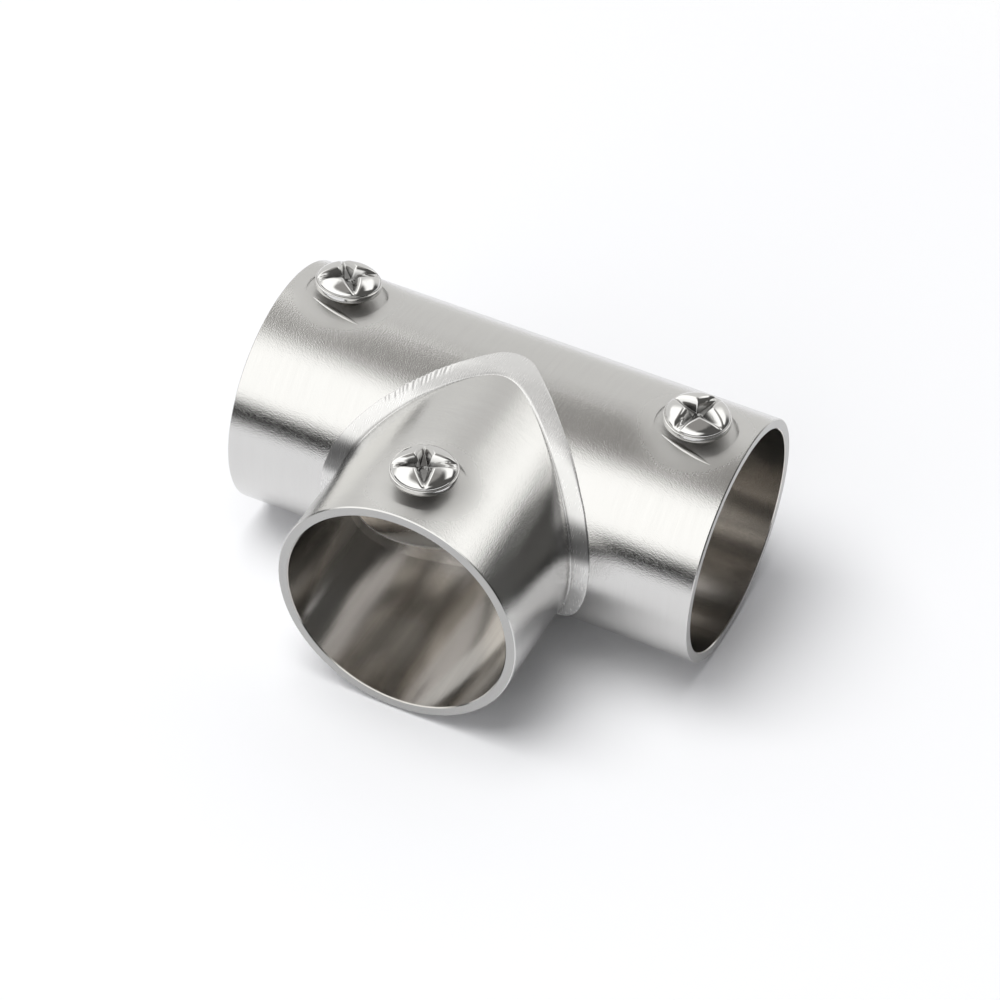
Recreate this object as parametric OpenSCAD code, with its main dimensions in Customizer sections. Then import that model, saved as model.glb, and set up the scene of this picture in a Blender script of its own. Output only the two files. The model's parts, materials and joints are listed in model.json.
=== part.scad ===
// Three-way tube connector: a straight run, a branch coped onto its side,
// a raised weld band round the joint, and a set screw for each socket.
// Millimetres. The origin is where the run's axis and the branch's axis cross,
// the run lies along X, the branch points to -Y, and the screws face +Z.

/* [Sockets] */
// Bore of all three sockets
socket_d = 32.5; // [28:0.5:40]
// Wall of the run and of the branch
wall = 1.5; // [1:0.1:2.5]
// Length of the run from end to end
run_len = 70; // [60:1:120]
// Distance from the run's axis to the mouth of the branch
branch_reach = 35; // [32:1:80]
// Chamfer on the cut ends of the tubes
edge_break = 0.15; // [0.05:0.05:0.4]
// Length dressed off the sharp point of the branch's cope
cope_nose = 1.9; // [1:0.1:3]

/* [Weld band] */
// Height of the band over the run's surface
weld_t = 0.4; // [0.2:0.05:0.8]
// Reach of the band along the run, out from the branch, at the height of the axes
weld_leg = 2.6; // [1.6:0.1:4]
// How far the band's outer edge leans back from upright, in degrees
weld_lean = 2.7; // [0:0.1:4]
// Radius of the band's outer edge where it crosses the crown
weld_point_r = 4.5; // [2:0.5:7]

/* [Screw seats] */
// Distance from each socket's mouth to its screw
screw_inset = 8; // [7:0.5:11]
// Diameter of the flat faced round each screw
seat_d = 11.5; // [10.4:0.1:13]
// Depth of that flat under the crown of the tube
seat_depth = 0.55; // [0.2:0.05:0.8]
// How far the flats on the run dip towards +X, in degrees
seat_dip = 3.5; // [0:0.5:5]
// How far the left screw sits round the back of the crown, in degrees
left_screw_turn = 7.5; // [0:0.5:20]
// How far the branch's screw sits to the left of the crown, in degrees
branch_screw_turn = 1.3; // [0:0.1:10]

/* [Screws] */
// Thread diameter
screw_d = 5; // [4:0.1:6]
// Gap round the thread in its hole, on the radius
thread_gap = 0.05; // [0.02:0.01:0.1]
// Gap between the tip of each screw and the bore of its socket
tip_gap = 0.05; // [0.02:0.01:0.3]
// Length that a screw stands backed out, from the crown to its head
standoff = 1; // [0.4:0.1:3]
// Head diameter
head_d = 9.3; // [8.6:0.1:10.2]
// Height of the straight rim of the head
head_rim = 0.95; // [0.6:0.05:1.4]
// Height of the dome over that rim
head_dome = 1.6; // [1.2:0.05:2.2]
// Gap between the tip of each wing of the cross recess and the edge of the dome
recess_edge = 0.3; // [0.2:0.05:1.2]
// Width of each wing of the recess
recess_w = 1.2; // [0.8:0.1:1.8]
// Depth of the recess from the top of the head
recess_depth = 1.9; // [1.2:0.1:2.2]
// Turn of the left screw's recess, in degrees
left_recess_turn = 38; // [0:1:90]
// Turn of the right screw's recess
right_recess_turn = 72; // [0:1:90]
// Turn of the recess in the branch's screw
branch_recess_turn = 26; // [0:1:90]

/* [Hidden] */
$fn = 96;

bore_r = socket_d / 2;
tube_r = bore_r + wall;
weld_r = tube_r + weld_t;
run_screw_x = run_len / 2 - screw_inset;
branch_screw_y = branch_reach - screw_inset;
reach_past = 2;                     // how far a cutter runs past what it cuts
tip_chamfer = 0.4;                  // on the end of a screw's thread
rim_chamfer = 0.15;                 // on the lower edge of a head
dome_inset = 0.2;                   // step from the rim in to the dome
tip_sink = 0.1;                     // depth of the recess at the tip of a wing
pit_r = recess_w * 0.9;             // centre of the recess, at its floor
head_r = head_d / 2;
head_h = head_rim + head_dome;
dome_r = head_r - dome_inset;
dome_curve_r = (dome_r * dome_r + head_dome * head_dome) / (2 * head_dome);
recess_r = dome_r - recess_edge;

// A point on a tube's crown, with Z pointing straight out of the tube.
module at_left_screw() translate([-run_screw_x, 0, 0]) rotate([-left_screw_turn, 0, 0]) children();
module at_right_screw() translate([run_screw_x, 0, 0]) children();
module at_branch_screw() translate([0, -branch_screw_y, 0]) rotate([0, -branch_screw_turn, 0]) children();

// Turns a shape made along Z so that it lies along X, or out along -Y.
module along_run() rotate([0, 90, 0]) children();
module along_branch() rotate([90, 0, 0]) children();

// The flat and the tapped hole that a screw needs in the crown of a tube.
module screw_cut(dip = 0) {
    translate([0, 0, tube_r - seat_depth]) rotate([0, dip, 0])
        cylinder(d = seat_d, h = seat_depth + reach_past);
    translate([0, 0, bore_r - reach_past]) cylinder(r = screw_d / 2 + thread_gap, h = wall + 2 * reach_past);
}

// Wall of a tube from z0 to z1, with a chamfer on both edges of each cut end.
module tube_wall(z0, z1, break_z0 = true) {
    e0 = break_z0 ? edge_break : 0;
    rotate_extrude() polygon([
        [bore_r + e0, z0], [tube_r - e0, z0], [tube_r, z0 + e0],
        [tube_r, z1 - edge_break], [tube_r - edge_break, z1],
        [bore_r + edge_break, z1], [bore_r, z1 - edge_break], [bore_r, z0 + e0]
    ]);
}

// The run, opened on its front where the branch's bore meets its own.
module run_tube() color([0.74, 0.74, 0.72]) difference() {
    along_run() tube_wall(-run_len / 2, run_len / 2);
    along_branch() translate([0, 0, cope_nose]) cylinder(r = bore_r, h = tube_r + reach_past);
    at_left_screw() screw_cut(seat_dip);
    at_right_screw() screw_cut(seat_dip);
}

// The branch, coped to the outside of the run.
module branch_tube() color([0.76, 0.76, 0.74]) difference() {
    along_branch() tube_wall(cope_nose, branch_reach, false);
    along_run() cylinder(r = tube_r, h = run_len, center = true);
    at_branch_screw() screw_cut();
}

// A prism round the joint: from above, a right angle whose point is rounded off.
module weld_blank(far, height) {
    tangent = weld_point_r / sqrt(2);
    linear_extrude(height = height, center = true)
        polygon([[-tangent, weld_leg - tangent], [tangent, weld_leg - tangent],
                 [far, weld_leg - far], [-far, weld_leg - far]]);
    translate([0, weld_leg - 2 * tangent, 0]) cylinder(r = weld_point_r, h = height, center = true);
}

// A skin on the run that follows the branch all the way round the joint.
module weld_band() color([0.8, 0.8, 0.78]) difference() {
    far = weld_leg + weld_r + reach_past;
    intersection() {
        along_run() cylinder(r = weld_r, h = 2 * far, center = true);
        rotate([-weld_lean, 0, 0]) weld_blank(far, 2 * (weld_r + reach_past));
    }
    along_run() cylinder(r = tube_r, h = 2 * (far + reach_past), center = true);
    along_branch() translate([0, 0, cope_nose]) cylinder(r = tube_r, h = far + reach_past);
}

// Height of the dome at a distance from the screw's axis, from the underside of the head.
function dome_z(x) = head_h - dome_curve_r + sqrt(dome_curve_r * dome_curve_r - x * x);

// Half the outline of a screw up to the top of its rim. z = 0 is the underside of the head.
module screw_outline(shank) polygon([
    [0, -shank], [screw_d / 2 - tip_chamfer, -shank], [screw_d / 2, tip_chamfer - shank],
    [screw_d / 2, 0], [head_r - rim_chamfer, 0], [head_r, rim_chamfer], [head_r, head_rim], [0, head_rim]
]);

// The low round cap on the rim.
module dome() intersection() {
    translate([0, 0, head_h - dome_curve_r]) sphere(r = dome_curve_r);
    cylinder(r = dome_r, h = head_h + reach_past);
}

// Four wings with sloping floors, meeting in a round pit. z = 0 is the top of the head.
module cross_recess() {
    tip_z = dome_z(recess_r) - head_h - tip_sink;
    translate([0, 0, -recess_depth]) cylinder(r1 = pit_r, r2 = pit_r * 1.5, h = recess_depth + reach_past);
    for (turn = [0:90:270]) rotate([90, 0, turn]) linear_extrude(height = recess_w, center = true)
        polygon([[0, -recess_depth], [pit_r, -recess_depth], [recess_r, tip_z],
                 [recess_r, reach_past], [0, reach_past]]);
}

// Pan-head screw. z = 0 is the underside of its head.
module screw(recess_turn) color([0.86, 0.86, 0.87]) difference() {
    union() {
        rotate_extrude() screw_outline(standoff + wall - tip_gap);
        dome();
    }
    translate([0, 0, head_h]) rotate(recess_turn) cross_recess();
}

module left_run_screw() at_left_screw() translate([0, 0, tube_r + standoff]) screw(left_recess_turn);
module right_run_screw() at_right_screw() translate([0, 0, tube_r + standoff]) screw(right_recess_turn);
module branch_screw() at_branch_screw() translate([0, 0, tube_r + standoff]) screw(branch_recess_turn);

run_tube();
branch_tube();
weld_band();
left_run_screw();
right_run_screw();
branch_screw();
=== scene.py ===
import json
import math

import bpy
from mathutils import Matrix, Vector, noise


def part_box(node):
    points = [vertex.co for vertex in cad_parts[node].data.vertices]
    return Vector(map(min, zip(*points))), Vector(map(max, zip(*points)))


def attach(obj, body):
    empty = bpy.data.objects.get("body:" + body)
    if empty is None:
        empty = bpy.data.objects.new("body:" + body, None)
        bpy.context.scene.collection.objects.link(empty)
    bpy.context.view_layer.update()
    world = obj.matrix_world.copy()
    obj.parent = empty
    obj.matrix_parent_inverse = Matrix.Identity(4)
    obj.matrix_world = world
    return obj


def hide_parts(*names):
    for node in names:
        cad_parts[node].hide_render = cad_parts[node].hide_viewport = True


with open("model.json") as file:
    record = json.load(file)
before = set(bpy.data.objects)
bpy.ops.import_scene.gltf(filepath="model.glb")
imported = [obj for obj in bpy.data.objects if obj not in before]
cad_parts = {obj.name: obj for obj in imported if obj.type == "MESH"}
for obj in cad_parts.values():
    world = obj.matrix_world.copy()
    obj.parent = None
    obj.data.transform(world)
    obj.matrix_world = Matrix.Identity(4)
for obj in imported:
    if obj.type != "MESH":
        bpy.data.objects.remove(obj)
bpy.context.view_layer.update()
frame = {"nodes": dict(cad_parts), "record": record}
nodes = frame["nodes"]
mm = 0.001

# sizes that the pieces share, read from the frame
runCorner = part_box("run_tube")[1]
tubeR = runCorner.y
runHalf = runCorner.x
branchReach = -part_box("branch_tube")[0].y
boreR = next(m for m in frame["record"]["mounts"] if m["name"] == "run_bore")["dims"]["r_mm"] * mm
floorZ = min(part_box(name)[0].z for name in nodes)

screwInset = 8 * mm          # from each mouth to its screw
standoff = 1.0 * mm          # from the crown of a tube to the head of its screw
screwX = runHalf - screwInset
screwY = branchReach - screwInset


# shader maths

class Wire:
    # one output socket; arithmetic on it adds the Math nodes

    def __init__(self, shader, socket):
        self.shader = shader
        self.socket = socket

    def math(self, operation, first, second=None):
        inputs = {0: first} if second is None else {0: first, 1: second}
        return self.shader.node("ShaderNodeMath", {"operation": operation}, inputs)

    def __add__(self, other):
        return self.math("ADD", self, other)

    def __sub__(self, other):
        return self.math("SUBTRACT", self, other)

    def __rsub__(self, other):
        return self.math("SUBTRACT", other, self)

    def __mul__(self, other):
        return self.math("MULTIPLY", self, other)

    def __pow__(self, other):
        return self.math("POWER", self, other)

    def __abs__(self):
        return self.math("ABSOLUTE", self)

    __radd__ = __add__
    __rmul__ = __mul__

    def step(self, low, high):
        # 0 below low and 1 above high, smooth between; with low the larger, 1 below high and 0 above low
        first, last = (0.0, 1.0) if low < high else (1.0, 0.0)
        inputs = {0: self, 1: min(low, high), 2: max(low, high), 3: first, 4: last}
        return self.shader.node("ShaderNodeMapRange", {"interpolation_type": "SMOOTHSTEP"}, inputs)


class Shader:
    # a node tree, emptied; node() adds one node of any type to it

    def __init__(self, tree):
        self.tree = tree
        tree.nodes.clear()

    def node(self, kind, settings=None, inputs=None, output=0):
        made = self.tree.nodes.new(kind)
        for name, value in (settings or {}).items():
            setattr(made, name, value)
        for name, value in (inputs or {}).items():
            if isinstance(value, Wire):
                self.tree.links.new(value.socket, made.inputs[name])
            else:
                made.inputs[name].default_value = value
        return Wire(self, made.outputs[output])

    def finish(self, kind, surface):
        self.tree.links.new(surface.socket, self.tree.nodes.new(kind).inputs["Surface"])

    def place(self):
        return self.node("ShaderNodeTexCoord", output="Object")

    def parts(self, vector):
        # its X, Y and Z
        split = self.node("ShaderNodeSeparateXYZ", {}, {0: vector})
        return [Wire(self, socket) for socket in split.socket.node.outputs]

    def stretch(self, vector, scales):
        return self.node("ShaderNodeVectorMath", {"operation": "MULTIPLY"}, {0: vector, 1: scales})

    def shade(self, colour, tone):
        # a colour times a number
        return self.node("ShaderNodeVectorMath", {"operation": "SCALE"}, {0: colour, "Scale": tone})

    def noise(self, vector, size=1.0, detail=2.0, roughness=0.5):
        inputs = {"Vector": vector, "Scale": 1 / size, "Detail": detail, "Roughness": roughness}
        return self.node("ShaderNodeTexNoise", {}, inputs)

    def marks(self, vector, sizes, detail=2.0, roughness=0.5):
        # noise drawn out into marks, by their lengths along X, Y and Z
        drawn = self.stretch(vector, [1 / size for size in sizes])
        return self.noise(drawn, detail=detail, roughness=roughness)

    def blend(self, factor, one, two):
        # colours; one where the factor is 0
        return self.node("ShaderNodeMix", {"data_type": "RGBA"}, {0: factor, 6: one, 7: two}, output=2)

    def bump(self, relief, under=None):
        # relief is a height in metres, on top of the normal given as under
        inputs = {"Height": relief, "Distance": 1.0, "Strength": 1.0}
        if under is not None:
            inputs["Normal"] = under
        return self.node("ShaderNodeBump", {}, inputs)


def span(one, two):
    # distance from an axis, by the two coordinates across it
    return (one * one + two * two) ** 0.5


def metal(name, build, metallic=1.0):
    # build(shader) gives what changes over the surface; the constants stay on the shader's own sockets
    material = bpy.data.materials.new(name)
    material.use_nodes = True
    shader = Shader(material.node_tree)
    inputs = {"Metallic": metallic}
    inputs.update(build(shader))
    shader.finish("ShaderNodeOutputMaterial", shader.node("ShaderNodeBsdfPrincipled", {}, inputs))
    return material


# the camera, at the photograph's place

cameraView = {
    "lens": 129.13,
    "sensor": 36,               # mm, its width
    "azimuth": 23.13,           # degrees from the front towards the right
    "elevation": 43.025,
    "roll": 3.836,
    "distance": 501.49,         # mm, from the aim
    "aim": (0.827, -4.042, -4.331),
    "nearest": 0.01,            # metres, where its view starts
}


def towards(azimuth, elevation):
    # unit vector to a place in the studio; azimuth 0 is in front, 90 on the right
    a = math.radians(azimuth)
    e = math.radians(elevation)
    return Vector((math.sin(a) * math.cos(e), -math.cos(a) * math.cos(e), math.sin(e)))


def addCamera():
    data = bpy.data.cameras.new("camera")
    data.lens = cameraView["lens"]
    data.sensor_width = cameraView["sensor"]
    data.clip_start = cameraView["nearest"]
    camera = bpy.data.objects.new("camera", data)
    bpy.context.scene.collection.objects.link(camera)
    back = towards(cameraView["azimuth"], cameraView["elevation"])
    roll = Matrix.Rotation(math.radians(cameraView["roll"]), 3, "Z")
    turn = back.to_track_quat("Z", "Y").to_matrix() @ roll
    place = (Vector(cameraView["aim"]) + back * cameraView["distance"]) * mm
    camera.matrix_world = Matrix.Translation(place) @ turn.to_4x4()
    bpy.context.scene.camera = camera


# the studio: a pale backdrop with soft boxes and dark flags round it, a key light and a pale floor

studio = {
    "backdrop": (0.80, 0.795, 0.78),  # what the metal mirrors, apart from the patches
    "patches": {
        # azimuth and elevation of the middle, half width and height, and soft edge, all in degrees
        "overhead flag": {"at": (0, 90), "half": (30, 34), "soft": 26, "level": (0.36, 0.35, 0.336)},
        "right flag": {"at": (100, 15), "half": (52, 30), "soft": 20, "level": (0.10, 0.10, 0.098)},
        "right front flag": {"at": (82, 42), "half": (50, 32), "soft": 10, "level": (0.11, 0.108, 0.104)},
        "rear soft box": {"at": (152, 37.5), "half": (22, 12.5), "soft": 10, "level": (1.46, 1.46, 1.43)},
        "front soft box": {"at": (-32, 38), "half": (54, 29), "soft": 18, "level": (1.49, 1.49, 1.465)},
        "left soft box": {"at": (-92, 46), "half": (34, 17), "soft": 8, "level": (1.5, 1.5, 1.47)},
        "front horizon": {"at": (-10, 0), "half": (70, 9), "soft": 8, "level": (0.005, 0.005, 0.005)},
    },
    "fill": (0.40, 0.40, 0.412),      # what lights the floor from all round, apart from its own patches
    "fillPatches": {
        "shaded side": {"at": (62, 28), "half": (40, 46), "soft": 18, "level": (0.01, 0.01, 0.01)},
        "front fill": {"at": (-8, 24), "half": (22, 24), "soft": 14, "level": (1.3, 1.3, 1.34)},
    },
    "thrown": (0.05, 0.05, 0.05),     # what the metal throws back on the floor
    "key": {"azimuth": -52, "elevation": 73, "distance": 2.2, "size": 1.6, "power": 40.5},
    "floorSize": 0.38,
    "floorFade": (0.125, 0.185),      # the floor thins out to nothing between these distances
    "floorColour": (0.965, 0.968, 0.975, 1),
}


def patchMask(shader, direction, spot):
    middle = towards(*spot["at"])
    across = Vector((0, 0, 1)).cross(middle)
    across = across.normalized() if across.length > 0.01 else Vector((1, 0, 0))
    upward = middle.cross(across)

    def along(axis):
        inputs = {0: direction, 1: tuple(axis)}
        return shader.node("ShaderNodeVectorMath", {"operation": "DOT_PRODUCT"}, inputs, output=1)

    sideways = along(across)
    sideways = abs(sideways.math("ARCTAN2", sideways, along(middle)))
    height = along(upward)
    height = abs(height.math("ARCSINE", height))
    soft = math.radians(spot["soft"])
    halfWidth, halfHeight = (math.radians(half) for half in spot["half"])
    inWidth = sideways.step(halfWidth + soft / 2, halfWidth - soft / 2)
    inHeight = height.step(halfHeight + soft / 2, halfHeight - soft / 2)
    return inWidth * inHeight


def withPatches(shader, direction, colour, patches):
    colour = (*colour, 1)
    for spot in patches.values():
        colour = shader.blend(patchMask(shader, direction, spot), colour, (*spot["level"], 1))
    return colour


def addWorld():
    world = bpy.data.worlds.new("studio")
    world.use_nodes = True
    bpy.context.scene.world = world
    shader = Shader(world.node_tree)
    direction = shader.node("ShaderNodeTexCoord", output="Generated")
    mirrored = withPatches(shader, direction, studio["backdrop"], studio["patches"])
    colour = withPatches(shader, direction, studio["fill"], studio["fillPatches"])

    def ray(kind):
        return shader.node("ShaderNodeLightPath", output=kind)

    dimmed = shader.blend(ray("Diffuse Depth").step(0.4, 0.6), mirrored, (*studio["thrown"], 1))
    colour = shader.blend(ray("Is Glossy Ray"), colour, dimmed)
    colour = shader.blend(ray("Is Transmission Ray"), colour, mirrored)
    colour = shader.blend(ray("Is Camera Ray"), colour, (1, 1, 1, 1))
    backdrop = shader.node("ShaderNodeBackground", {}, {"Color": colour, "Strength": 1.0})
    shader.finish("ShaderNodeOutputWorld", backdrop)


def addKey():
    key = studio["key"]
    data = bpy.data.lights.new("key", "AREA")
    data.size = key["size"]
    data.energy = key["power"]
    lamp = bpy.data.objects.new("key", data)
    bpy.context.scene.collection.objects.link(lamp)
    back = towards(key["azimuth"], key["elevation"])
    lamp.location = back * key["distance"]
    lamp.rotation_euler = back.to_track_quat("Z", "Y").to_euler()
    lamp.visible_glossy = False


def addFloor():
    bpy.ops.mesh.primitive_plane_add(size=studio["floorSize"], location=(0, 0, floorZ))
    floor = bpy.context.object
    floor.name = "floor"
    material = bpy.data.materials.new("floor")
    material.use_nodes = True
    shader = Shader(material.node_tree)
    x, y, _ = shader.parts(shader.place())
    far = span(x, y).step(*studio["floorFade"])
    pale = shader.node("ShaderNodeBsdfDiffuse", {}, {"Color": studio["floorColour"]})
    clear = shader.node("ShaderNodeBsdfTransparent")
    surface = shader.node("ShaderNodeMixShader", {}, {0: far, 1: pale, 2: clear})
    shader.finish("ShaderNodeOutputMaterial", surface)
    floor.data.materials.append(material)


bpy.ops.object.select_all(action="DESELECT")
addCamera()
addWorld()
addKey()
addFloor()
print("studio ready")


# satin steel, brushed round the tube outside and drawn along it inside

steel = {
    "colour": (0.66, 0.654, 0.643),
    "inside": {0: (0.70, 0.675, 0.645), 1: (0.50, 0.482, 0.458)},    # of the run's bore and the branch's; the run's lighter tone is painted light, the branch's darker one painted shade
    "rim": (0.46, 0.457, 0.448),         # sawn and turned end faces
    "seat": (0.675, 0.669, 0.658),       # duller steel round the screws
    "root": (0.93, 0.92, 0.90),          # painted light on the run's bore round the joint, where light comes in through the branch
    "roughness": 0.15,
    "insideRoughness": 0.17,
    "rimRoughness": 0.30,
    "seatRoughness": 0.52,
    "rootRougher": 0.3,                  # than the rest of the bore
    "brushWidth": 0.12 * mm,             # brushing outside, round the tube
    "brushLength": 5 * mm,
    "brushDepth": 0.004 * mm,
    "strokeWidth": 0.16 * mm,            # strokes along the branch, over its brushing
    "strokeLength": 2.2 * mm,
    "strokeDepth": 0.004 * mm,
    "streakWidth": 0.9 * mm,             # streaks along the bores
    "streakLength": 60 * mm,
    "streakDepth": 0.01 * mm,
    "grainSize": 0.19 * mm,
    "grainDepth": 0.021 * mm,
    "cloudSize": 7 * mm,
    "topFrom": 10 * mm,                  # height over which a tube can have a seat
    "seatOff": {0: 2.3 * mm, 1: -0.4 * mm},  # of the left screw and the branch's, off the crown
    "seatFade": (10.5 * mm, 3.5 * mm),   # distances from the screw between which the seat's finish comes in
    "flatHalf": 6.2 * mm,                # reach of a flat along its tube, from the screw
    "flatBlend": 0.85,                   # of the run's flats into the round of the tube
    "rootRound": (21 * mm, 18 * mm),     # the root comes in between these distances from the branch's axis
    "rootBack": (7 * mm, 3 * mm),        # and between these behind the run's
}


def tubeMasks(shader, place, axis, end):
    # where each finish of a tube lies, from 0 to 1
    coordinates = shader.parts(place)
    along, across, height = coordinates[axis], coordinates[1 - axis], coordinates[2]
    inside = span(across, height).step(boreR + 0.25 * mm, boreR + 0.1 * mm)
    rim = abs(along).step(end - 0.02 * mm, end - 0.01 * mm)
    onTop = height.step(steel["topFrom"], steel["topFrom"] + 1 * mm) * (1 - inside)
    pastScrew = abs(along) - (end - screwInset)
    offCrown = across - along.step(2 * mm, -2 * mm) * steel["seatOff"][axis]
    masks = {
        "inside": inside,
        "rim": rim,
        "seat": onTop * (1 - rim) * span(offCrown, pastScrew).step(*steel["seatFade"]),
        "nearFlat": abs(pastScrew).step(steel["flatHalf"], steel["flatHalf"] - 0.1 * mm) * onTop,
    }
    if axis == 0:
        # the cut wall of the run's front opening has the bore's finish too
        opening = span(along, height)
        cut = opening.step(boreR + 0.2 * mm, boreR + 0.1 * mm) * across.step(-0.001 * mm, -0.1 * mm)
        # the root: painted light on the bore, where light falls in through the branch
        masks["root"] = inside * across.step(*steel["rootBack"]) * opening.step(*steel["rootRound"])
        masks["inside"] = inside.math("MAXIMUM", inside, cut)
    return masks


def tubeNormal(shader, place, axis, nearFlat):
    # the branch's flat takes the normal of its round tube, and so do the walls of the run's flats;
    # the run's flats themselves take most of it
    true = shader.node("ShaderNodeNewGeometry", output="Normal")
    upright = [1, 1, 1]
    upright[axis] = 0
    outwards = shader.stretch(place, upright)
    outwards = shader.node("ShaderNodeVectorMath", {"operation": "NORMALIZE"}, {0: outwards})
    blended = nearFlat
    if axis == 0:
        wall = shader.parts(true)[2].step(0.8, 0.6)
        blended = nearFlat * wall.math("MAXIMUM", wall, steel["flatBlend"])
    inputs = {0: blended, 4: true, 5: outwards}
    return shader.node("ShaderNodeMix", {"data_type": "VECTOR"}, inputs, output=1)


def tubeSteel(name, axis, end):
    # axis is 0 for a tube along X, 1 for one along Y; end is the distance of its cut ends from the middle

    def build(shader):
        place = shader.place()
        masks = tubeMasks(shader, place, axis, end)

        def marks(along, across, detail=2.0, roughness=0.5):
            sizes = [across] * 3
            sizes[axis] = along
            return shader.marks(place, sizes, detail, roughness)

        brush = marks(steel["brushWidth"], steel["brushLength"], detail=3.0, roughness=0.6)
        band = marks(6 * steel["brushWidth"], 3 * steel["brushLength"])
        streak = marks(steel["streakLength"], steel["streakWidth"])
        grain = shader.noise(place, steel["grainSize"], roughness=0.6)
        cloud = shader.noise(place, steel["cloudSize"])

        colour = shader.shade(steel["colour"], 0.93 + brush * 0.07 + band * 0.04 + cloud * 0.03)
        rough = steel["roughness"] + (brush - 0.5) * 0.06 + (cloud - 0.5) * 0.04 + (grain - 0.5) * 0.12
        # the bores' tones are painted light in the run and painted shade in the branch
        finishes = {
            "inside": (steel["inside"][axis], 0.85 + streak * 0.3),
            "rim": (steel["rim"], 0.9 + grain * 0.2),
            "seat": (steel["seat"], 0.9 + cloud * 0.2),
        }
        for finish, (tint, tone) in finishes.items():
            colour = shader.blend(masks[finish], colour, shader.shade(tint, tone))
            rough = rough + masks[finish] * (steel[finish + "Roughness"] - steel["roughness"])
        if axis == 0:
            # painted light on the bore round the joint
            colour = shader.blend(masks["root"], colour, shader.shade(steel["root"], 0.95 + cloud * 0.1))
            rough = rough + masks["root"] * steel["rootRougher"]

        worn = brush * steel["brushDepth"] + grain * steel["grainDepth"]
        if axis == 1:
            worn = worn + marks(steel["strokeLength"], steel["strokeWidth"]) * steel["strokeDepth"]
        relief = worn * (1 - masks["inside"]) + streak * masks["inside"] * steel["streakDepth"]
        smooth = tubeNormal(shader, place, axis, masks["nearFlat"])
        return {"Base Color": colour, "Roughness": rough, "Normal": shader.bump(relief, under=smooth)}

    return metal(name, build)


def dress(name, material):
    for slot in nodes[name].material_slots:
        slot.material = material


dress("run_tube", tubeSteel("satin steel, run", 0, runHalf))
dress("branch_tube", tubeSteel("satin steel, branch", 1, branchReach))
print("tubes dressed")


# work shared by the modelled pieces

def turned(name, profile, sides):
    # spins (radius, height) points about Z into a closed solid; both ends of the profile lie on the axis
    bpy.ops.object.select_all(action="DESELECT")
    bpy.ops.mesh.primitive_plane_add(size=mm)
    piece = bpy.context.object
    piece.name = name
    bpy.ops.object.mode_set(mode="EDIT")
    bpy.ops.mesh.merge(type="CENTER")
    radius, height = profile[0]
    bpy.ops.transform.translate(value=(radius, 0, height))
    for nextRadius, nextHeight in profile[1:]:
        bpy.ops.mesh.extrude_vertices_move(
            TRANSFORM_OT_translate={"value": (nextRadius - radius, 0, nextHeight - height)})
        radius, height = nextRadius, nextHeight
    bpy.ops.mesh.select_all(action="SELECT")
    bpy.ops.mesh.spin(steps=sides, angle=math.tau, center=(0, 0, 0), axis=(0, 0, 1))
    closeUp()
    return piece


def closeUp():
    # in edit mode: merges the seam, points the faces outwards and goes back to object mode
    bpy.ops.mesh.select_all(action="SELECT")
    bpy.ops.mesh.remove_doubles(threshold=0.0005 * mm)
    bpy.ops.mesh.normals_make_consistent(inside=False)
    bpy.ops.object.mode_set(mode="OBJECT")
    bpy.ops.object.shade_smooth()


def settle(piece, material=None, node=None):
    if material:
        piece.data.materials.append(material)
    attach(piece, "root")
    if node:
        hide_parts(node)


def arc(centre, radius, start, end, steps):
    # points round part of a circle, in degrees
    angles = [math.radians(start + (end - start) * i / steps) for i in range(steps + 1)]
    return [(centre[0] + radius * math.cos(angle), centre[1] + radius * math.sin(angle)) for angle in angles]


def softMin(one, two, width):
    # the lower of two heights, rounded over where they cross
    share = max(0.0, min(1.0, 0.5 + 0.5 * (two - one) / width))
    return two * (1 - share) + one * share - width * share * (1 - share)


# the screws: bright pan heads with a cross recess that runs out to the rim

screwShape = {
    "headR": 4.65 * mm,
    "rimHeight": 0.95 * mm,
    "underRound": 0.22 * mm,     # of the head's lower corner
    "rimRound": 0.14 * mm,       # of its upper one
    "domeR": 4.42 * mm,
    "domeHeight": 1.57 * mm,
    "domeFullness": 0.52,        # 0.5 is an ellipse, 1 a low paraboloid
    "domeGroove": 0.2 * mm,      # depth of the groove between the rim and the dome
    "domeRings": 112,
    "shank": 2.45 * mm,
    "tipChamfer": 0.4 * mm,
    "threadR": 2.5 * mm,
    "threadPitch": 0.8 * mm,
    "threadDepth": 0.4 * mm,
    "threadRings": 34,
    "recessDepth": 1.9 * mm,     # under the top of the head
    "wingTip": 4.25 * mm,        # from the axis
    "wingFloor": 0.55 * mm,      # half its width, at the middle
    "wingSlope": 2.3,            # of the walls of each wing
    "wingCurve": 1.3,            # 1 is a straight floor from the middle to the tip
    "wingEnd": 4,                # slope of the floor past its tip
    "floorRound": 0.2 * mm,
    "wingRound": 0.45 * mm,      # of the edge between two wings
    "slotFloor": 0.9 * mm,       # under the top; one pair of wings runs out as a shallow slot
    "slotHalf": 0.50 * mm,
    "slotSlope": 3.0,
    "slotRound": 0.3 * mm,       # of the edge between the slot and the wings
    "pitFloor": 2.0 * mm,        # under the top
    "pitR": 0.5 * mm,
    "pitSlope": 2.5,
    "pitRound": 0.5 * mm,        # of the edge between the pit and the wings
    "edgeRound": 1.3 * mm,       # of the edge between the recess and the dome
    "sides": 288,
}

plating = {
    "colour": (0.70, 0.695, 0.687),
    "recessShade": 0.62,                  # share of the colour taken off deep in the recess, painted shade
    "roughness": 0.05,
    "smearSize": 1.6 * mm,
    "dimpleSize": 0.9 * mm,
    "dimpleDepth": 0.012 * mm,
    "scratchSize": (0.05 * mm, 1.2 * mm, 0.4 * mm),
    "scratchDepth": 0.0008 * mm,
    # the thread and the underside of the head are dark: painted shade under the head, over a rough thread
    # finish
    "threadShadeColour": (0.26, 0.245, 0.225),
    "threadRoughness": 0.34,
    "mottleSize": 0.5 * mm,
}

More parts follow.
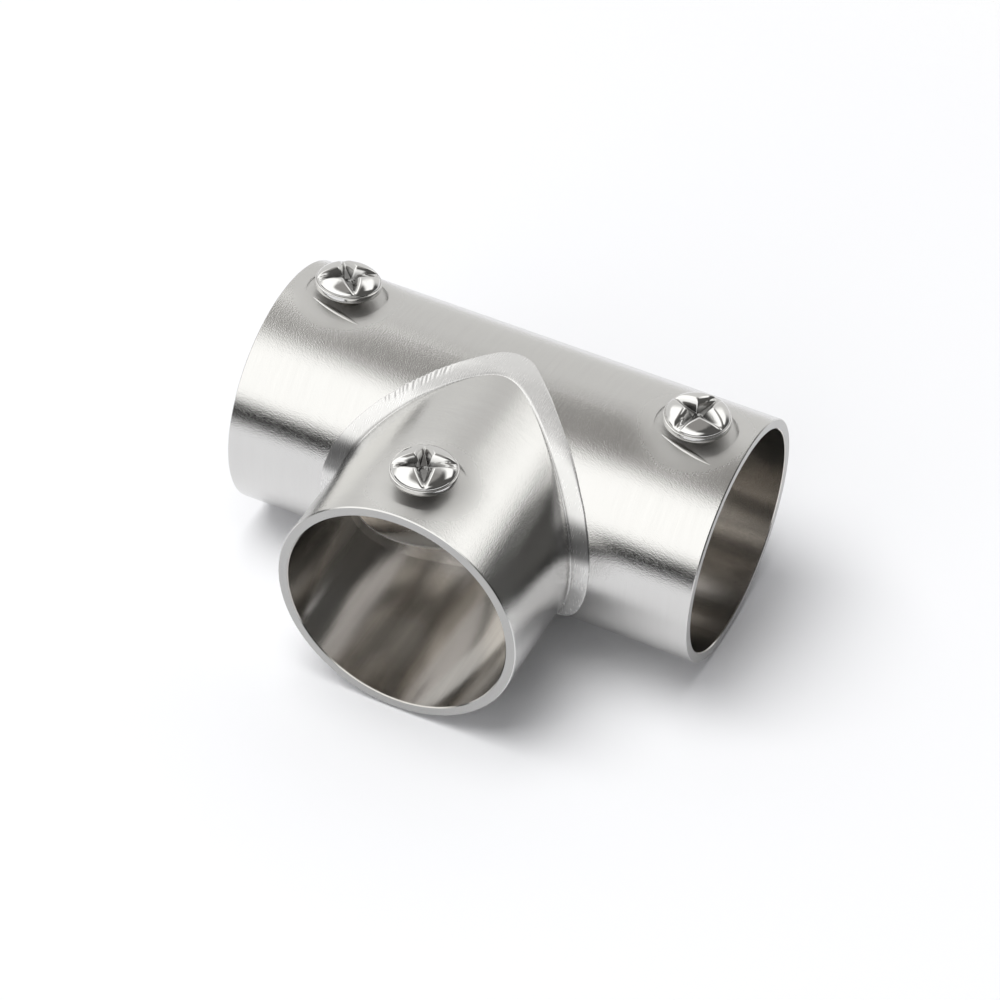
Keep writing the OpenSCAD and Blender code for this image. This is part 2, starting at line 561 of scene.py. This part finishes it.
# place of each screw's head, how it leans off the crown and how its recess is turned
screwPlaces = {
    "left_run_screw": {"at": (-screwX, 0), "lean": ("X", -7.5), "turn": 38},
    "right_run_screw": {"at": (screwX, 0), "lean": ("X", 0), "turn": 72},
    "branch_screw": {"at": (0, -screwY), "lean": ("Y", -1.3), "turn": 26},
}


def domeHeight(radius):
    fill = max(0.0, 1 - (radius / screwShape["domeR"]) ** 2) ** screwShape["domeFullness"]
    return screwShape["rimHeight"] + screwShape["domeHeight"] * fill


def wingHeight(along, across):
    tip = screwShape["wingTip"]
    share = min(1.0, along / tip)
    deep = -screwShape["recessDepth"]
    rise = domeHeight(tip) - domeHeight(0) - deep
    floor = deep + rise * share ** screwShape["wingCurve"] + screwShape["wingEnd"] * max(0.0, along - tip)
    half = screwShape["wingFloor"] * (1 - share)
    return floor + screwShape["wingSlope"] * max(0.0, math.hypot(across, screwShape["floorRound"]) - half)


def recessHeight(x, y):
    # height of the recess over the underside of the head
    pit = screwShape["pitSlope"] * max(0.0, math.hypot(x, y) - screwShape["pitR"]) - screwShape["pitFloor"]
    slot = screwShape["slotSlope"] * max(0.0, math.hypot(y, 0.05 * mm) - screwShape["slotHalf"])
    slot -= screwShape["slotFloor"]
    wings = softMin(wingHeight(abs(x), abs(y)), wingHeight(abs(y), abs(x)), screwShape["wingRound"])
    lowest = softMin(softMin(wings, slot, screwShape["slotRound"]), pit, screwShape["pitRound"])
    return lowest + domeHeight(0)


def screwProfile():
    # (radius, height) points from the tip of the shank to the top; height 0 is the underside of the head
    headR, rim, shank = screwShape["headR"], screwShape["rimHeight"], screwShape["shank"]
    threadR, domeR = screwShape["threadR"], screwShape["domeR"]
    under, over, groove = screwShape["underRound"], screwShape["rimRound"], screwShape["domeGroove"]
    threadRings, domeRings = screwShape["threadRings"], screwShape["domeRings"]
    profile = [(0, -shank), (threadR - screwShape["tipChamfer"], -shank)]
    profile += [(threadR, -shank + (shank - 0.1 * mm) * i / threadRings) for i in range(1, threadRings)]
    profile += [(threadR - 0.1 * mm, -0.03 * mm), (threadR + 0.1 * mm, 0)]
    profile += arc((headR - under, under), under, -90, -5, 7)
    profile += [(headR, rim * 0.5)]
    profile += arc((headR - over, rim - over - 0.03 * mm), over, 5, 110, 7)
    profile += [(domeR + 0.03 * mm, rim - groove), (domeR - 0.01 * mm, rim - groove)]
    profile += [(domeR - 0.02 * mm, rim - 0.03 * mm)]
    for i in range(1, domeRings):
        radius = domeR * (1 - (i / domeRings) ** 1.15)
        profile.append((radius, domeHeight(radius)))
    return profile + [(0, domeHeight(0))]


def makeScrew():
    rim, shank, threadR = screwShape["rimHeight"], screwShape["shank"], screwShape["threadR"]
    piece = turned("screw", screwProfile(), screwShape["sides"])
    piece.data.materials.append(chrome())
    piece.data.materials.append(threadMetal())
    sunk = piece.data.attributes.new("sunk", "FLOAT", "POINT")
    # faces under the head take the dark thread finish, painted shade under the head
    for face in piece.data.polygons:
        face.material_index = 1 if face.center.z < 0.004 * mm else 0
    for vertex in piece.data.vertices:
        place = vertex.co
        radius = math.hypot(place.x, place.y)
        if place.z >= rim:
            dome = domeHeight(radius)
            place.z = softMin(dome, recessHeight(place.x, place.y), screwShape["edgeRound"])
            # 0 near the edge of the recess, 1 well down in it; it darkens the plating there as painted shade
            depth = (dome - place.z) / screwShape["recessDepth"]
            sunk.data[vertex.index].value = max(0.0, min(1.0, depth * 1.6 - 0.25))
        elif -shank + 0.2 * mm < place.z < -0.05 * mm and radius > threadR - 0.05 * mm:
            turn = place.z / screwShape["threadPitch"] - math.atan2(place.y, place.x) / math.tau
            crest = abs(2 * (turn - math.floor(turn)) - 1)
            groove = 1 - screwShape["threadDepth"] * (1 - crest) / radius
            place.x *= groove
            place.y *= groove
    return piece


def chrome():
    def build(shader):
        place = shader.place()
        smear = shader.noise(place, plating["smearSize"], detail=3.0)
        dimple = shader.noise(place, plating["dimpleSize"], detail=1.0)
        scratch = shader.marks(place, plating["scratchSize"])
        scratched = scratch.step(0.62, 0.78)
        sunk = shader.node("ShaderNodeAttribute", {"attribute_name": "sunk"}, output="Fac")
        # deep in the recess the colour darkens: painted shade
        tone = (0.94 + smear * 0.12 - scratched * 0.08) * (1 - sunk * plating["recessShade"])
        return {
            "Base Color": shader.shade(plating["colour"], tone),
            "Roughness": plating["roughness"] + smear * 0.07 + scratched * 0.14 + sunk * 0.08,
            "Normal": shader.bump(dimple * plating["dimpleDepth"] + scratch * plating["scratchDepth"]),
        }

    return metal("bright plated screw", build)


# the thread's dark colour paints the shade under the head; its mottle varies that tone at random
def threadMetal():
    def build(shader):
        mottle = shader.noise(shader.place(), plating["mottleSize"], detail=3.0)
        return {
            "Base Color": shader.shade(plating["threadShadeColour"], 0.5 + mottle * 0.7),
            "Roughness": plating["threadRoughness"] + mottle * 0.2,
        }

    return metal("thread in painted shade", build)


def atScrew(spot):
    # from a screw's own axes to its place; its Z then points straight out of the tube
    x, y = spot["at"]
    axis, degrees = spot["lean"]
    return Matrix.Translation((x, y, 0)) @ Matrix.Rotation(math.radians(degrees), 4, axis)


model = makeScrew()
for name, spot in screwPlaces.items():
    piece = model.copy()
    piece.data = model.data.copy()
    piece.name = name.replace("_screw", "") + "_pan_head_screw"
    bpy.context.scene.collection.objects.link(piece)
    lift = Matrix.Translation((0, 0, tubeR + standoff))
    turn = Matrix.Rotation(math.radians(spot["turn"]), 4, "Z")
    piece.data.transform(atScrew(spot) @ lift @ turn)
    settle(piece, node=name)
bpy.data.objects.remove(model)
print("screws made")


# the weld: a dressed bead on the run, all the way round the branch

bead = {
    "height": 0.4 * mm,
    "drop": 0.09 * mm,           # from that height to its outer corner
    "sunk": 0.15 * mm,           # its underside, under the skin of the run
    "leg": 2.59 * mm,            # along the run, at the height of the axes
    "lean": 0.047,               # growth of the leg with height
    "pointR": 4.36 * mm,         # of its outer edge, where that crosses the crown
    "buried": 0.6 * mm,          # its inner edge, under the skin of the branch
    "body": 0.45 * mm,           # from where it comes out of the branch to where its body starts
    "corner": 0.28 * mm,         # from where its body ends to its outer edge
    # offset and height of the points of the groove beside the branch, and of the outer corner, in mm
    "groovePoints": [(-0.55, 0.40), (-0.42, 0.30), (-0.32, 0.20), (-0.24, 0.19), (-0.15, 0.31)],
    "cornerPoints": [(0, 0.31), (0.10, 0.29), (0.19, 0.245), (0.25, 0.18), (0.28, 0.10), (0.28, -0.15)],
    "bodyRows": 10,
    "stations": 1320,
    "uneven": 0.07 * mm,         # wander of its outer edge
    "unevenPitch": 2.2 * mm,
    "dips": 0.03 * mm,           # shallow dips in its top, which is all that stands over dipsFrom
    "dipsFrom": 0.25 * mm,
    "dipPitch": 3.1 * mm,
    "rippleFrom": -15.4 * mm,    # grinding ripples on the left of the point
    "rippleTo": -7.2 * mm,
    "rippleReach": 1.5 * mm,     # inwards from the outer edge
    "rippleSlant": 0.35,         # share of a pitch that they turn for each mm inwards
    "ripplePitch": 0.72 * mm,
    "rippleDepth": 0.10 * mm,
    "rippleMean": 0.55,          # their strength, and how far and how fast it varies
    "rippleSpread": 1.1,
    "rippleSpreadPitch": 0.6 * mm,
    "rippleShift": 0.6,          # how far their beat wanders, in pitches
    "rippleShiftPitch": 1.1 * mm,
    "colour": (0.74, 0.735, 0.722),
    "roughness": 0.22,
    "brushSize": (0.10 * mm, 1.6 * mm, 1.6 * mm),
    "grainSize": 0.22 * mm,
    "patchSize": 2.4 * mm,
    "reliefDepth": 0.008 * mm,
    "darkBandLow": (2.6 * mm, 4.6 * mm),    # heights between which a dark band comes in, and goes: a painted reflection of the dark horizon, as on the run
    "darkBandHigh": (9.6 * mm, 7.4 * mm),
    "darkBandDarker": 0.72,
}


def onRun(x, arcLength, height=0.0):
    # a point over the skin of the run; arcLength goes from the crown down the front
    phi = arcLength / tubeR
    radius = tubeR + height
    return Vector((x, -radius * math.sin(phi), radius * math.cos(phi)))


def outsideBead(x, arcLength):
    # above 0 beyond the outer edge of the bead
    point = onRun(x, arcLength)
    leg = bead["leg"] + bead["lean"] * point.z
    centre = leg - bead["pointR"] * math.sqrt(2)
    if point.y - centre > abs(x):
        return math.hypot(x, point.y - centre) - bead["pointR"]
    return (abs(x) + point.y - leg) / math.sqrt(2)


def outsideBranch(x, arcLength):
    # 0 at the buried edge
    point = onRun(x, arcLength)
    return math.hypot(point.x, point.z) - (tubeR - bead["buried"])


def showsAt(x, arcLength):
    # 0 where the top of the bead comes out of the branch's skin
    point = onRun(x, arcLength, bead["height"])
    return math.hypot(point.x, point.z) - tubeR


def fromJoint(distance, angle):
    # x and arc length of a point on the unrolled skin, seen from the middle of the joint
    return distance * math.sin(angle), tubeR * math.pi / 2 - distance * math.cos(angle)


def reach(outside, angle):
    # distance from the middle of the joint to where outside() becomes 0, on the unrolled skin
    low, high = 5 * mm, 40 * mm
    for _ in range(30):
        middle = (low + high) / 2
        if outside(*fromJoint(middle, angle)) > 0:
            high = middle
        else:
            low = middle
    return low


def beadRows():
    # (share of the body, offset from that end, height) across the bead; the share is None at its buried edge
    top, under = bead["height"], -bead["sunk"]
    rows = [(None, 0, top)]
    rows += [(0, offset * mm, height * mm) for offset, height in bead["groovePoints"]]
    for i in range(bead["bodyRows"]):
        share = i / bead["bodyRows"]
        rows.append((share, 0, top - bead["drop"] * share ** 3))
    rows += [(1, offset * mm, height * mm) for offset, height in bead["cornerPoints"]]
    rows += [(0.6, 0, under), (0.3, 0, under), (None, 0, under), (None, 0, top)]
    return rows


def wander(travelled, pitch, lane):
    # smooth random value along the bead's edge; each lane has its own
    return noise.noise(Vector((travelled / pitch, lane, 0)))


def beadStations():
    # what the bead's section needs at each step round the joint
    stations = []
    travelled = 0.0
    last = None
    for index in range(bead["stations"] + 1):
        angle = (index / bead["stations"] - 0.5) * math.tau
        outer = reach(outsideBead, angle)
        x, arcLength = fromJoint(outer, angle)
        edge = onRun(x, arcLength)
        travelled += (edge - last).length if last else 0.0
        last = edge
        strength = 0.0
        if bead["rippleFrom"] < x < bead["rippleTo"] and abs(angle) < math.pi / 2:
            share = (x - bead["rippleFrom"]) / (bead["rippleTo"] - bead["rippleFrom"])
            strength = bead["rippleMean"]
            strength += bead["rippleSpread"] * wander(travelled, bead["rippleSpreadPitch"], 9.1)
            strength *= math.sin(math.pi * share) ** 0.5
        shift = bead["rippleShift"] * wander(travelled, bead["rippleShiftPitch"], 3.7)
        stations.append({
            "angle": angle,
            "buried": reach(outsideBranch, angle),
            "start": reach(showsAt, angle) + bead["body"],
            "outer": outer + noise.noise(edge / bead["unevenPitch"]) * bead["uneven"],
            "beat": travelled / bead["ripplePitch"] + shift,
            "strength": strength,
        })
    return stations


def beadPoint(station, share, offset, height):
    angle, outer, strength = station["angle"], station["outer"], station["strength"]
    distance = station["buried"]
    if share is not None:
        body = outer - bead["corner"] - station["start"]
        distance = max(distance, station["start"] + body * share + offset)
    if height > 0 and share:
        inwards = outer - distance
        fade = max(0.0, 1 - inwards / bead["rippleReach"])
        beat = station["beat"] + bead["rippleSlant"] * inwards / mm
        ripple = math.cos(math.tau * beat) * strength * fade
        height += (ripple - abs(strength) * fade) * bead["rippleDepth"]
        if share == 1:
            distance += ripple * bead["rippleDepth"]
    x, arcLength = fromJoint(distance, angle)
    if height > bead["dipsFrom"]:
        spot = onRun(x, -distance * math.cos(angle)) / bead["dipPitch"]
        height -= (0.5 + noise.noise(spot)) * bead["dips"]
    return onRun(x, arcLength, height)


def makeBead():
    # a flat grid, bent round the joint: stations along its X, rows along its Y
    rows = beadRows()
    stations = beadStations()
    bpy.ops.object.select_all(action="DESELECT")
    bpy.ops.mesh.primitive_grid_add(x_subdivisions=bead["stations"], y_subdivisions=len(rows) - 1, size=1)
    piece = bpy.context.object
    piece.name = "weld_bead"
    for vertex in piece.data.vertices:
        station = stations[round((vertex.co.x + 0.5) * bead["stations"])]
        row = rows[round((vertex.co.y + 0.5) * (len(rows) - 1))]
        vertex.co = beadPoint(station, *row)
    bpy.ops.object.mode_set(mode="EDIT")
    closeUp()
    return piece


def weldMetal():
    def build(shader):
        place = shader.place()
        brush = shader.marks(place, bead["brushSize"], detail=3.0)
        grain = shader.noise(place, bead["grainSize"])
        patch = shader.noise(place, bead["patchSize"])
        height = shader.parts(place)[2]
        # a dark band by height: painted reflection of the dark horizon
        darkBand = height.step(*bead["darkBandLow"]) * height.step(*bead["darkBandHigh"])
        tone = (0.88 + brush * 0.12 + patch * 0.10) * (1 - darkBand * bead["darkBandDarker"])
        return {
            "Base Color": shader.shade(bead["colour"], tone),
            "Roughness": bead["roughness"] + (brush - 0.5) * 0.12 + patch * 0.08,
            "Normal": shader.bump(brush * bead["reliefDepth"] + grain * bead["reliefDepth"]),
        }

    return metal("dressed weld", build, metallic=0.55)


settle(makeBead(), weldMetal(), "weld_band")
print("weld made")


# the raised lip along the near edge of each flat on the run

lip = {
    "flatDepth": 0.55 * mm,
    "dip": 3.5,                  # of the flat, in degrees
    "from": -3.7 * mm,           # along the run, from the screw
    "to": 4.5 * mm,
    "halfWidth": 0.42 * mm,      # at the middle
    "height": 0.14 * mm,
    "taper": 0.8,                # below 1 it keeps its width nearer to its ends
    "rings": 48,
    "sides": 20,
    "colour": (0.72, 0.713, 0.70),
    "roughness": 0.28,
    "rubSize": (0.9 * mm, 0.2 * mm, 0.2 * mm),
}


def makeLip(name, spot):
    # a spindle turned about Z, 1 mm in radius at its middle, then laid along the edge and flattened
    half = (lip["to"] - lip["from"]) / 2
    profile = [(0, -half)]
    for i in range(1, lip["rings"]):
        along = -half + 2 * half * i / lip["rings"]
        profile.append(((1 - (along / half) ** 2) ** lip["taper"] * mm, along))
    profile.append((0, half))
    piece = turned(name, profile, lip["sides"])
    for vertex in piece.data.vertices:
        x = vertex.co.z + (lip["from"] + lip["to"]) / 2
        depth = lip["flatDepth"] + x * math.tan(math.radians(lip["dip"]))
        edge = math.acos(1 - depth / tubeR) * tubeR
        vertex.co = onRun(x, edge + vertex.co.y / mm * lip["halfWidth"], vertex.co.x / mm * lip["height"])
    piece.data.transform(atScrew(spot))
    return piece


def lipMetal():
    def build(shader):
        rub = shader.marks(shader.place(), lip["rubSize"])
        return {
            "Base Color": shader.shade(lip["colour"], 0.9 + rub * 0.16),
            "Roughness": lip["roughness"] + rub * 0.12,
        }

    return metal("rubbed edge", build)


lipMaterial = lipMetal()
for side in ("left", "right"):
    settle(makeLip(side + "_seat_lip", screwPlaces[side + "_run_screw"]), lipMaterial)
print("seat lips made")


bpy.context.scene.view_settings.view_transform = "Standard"
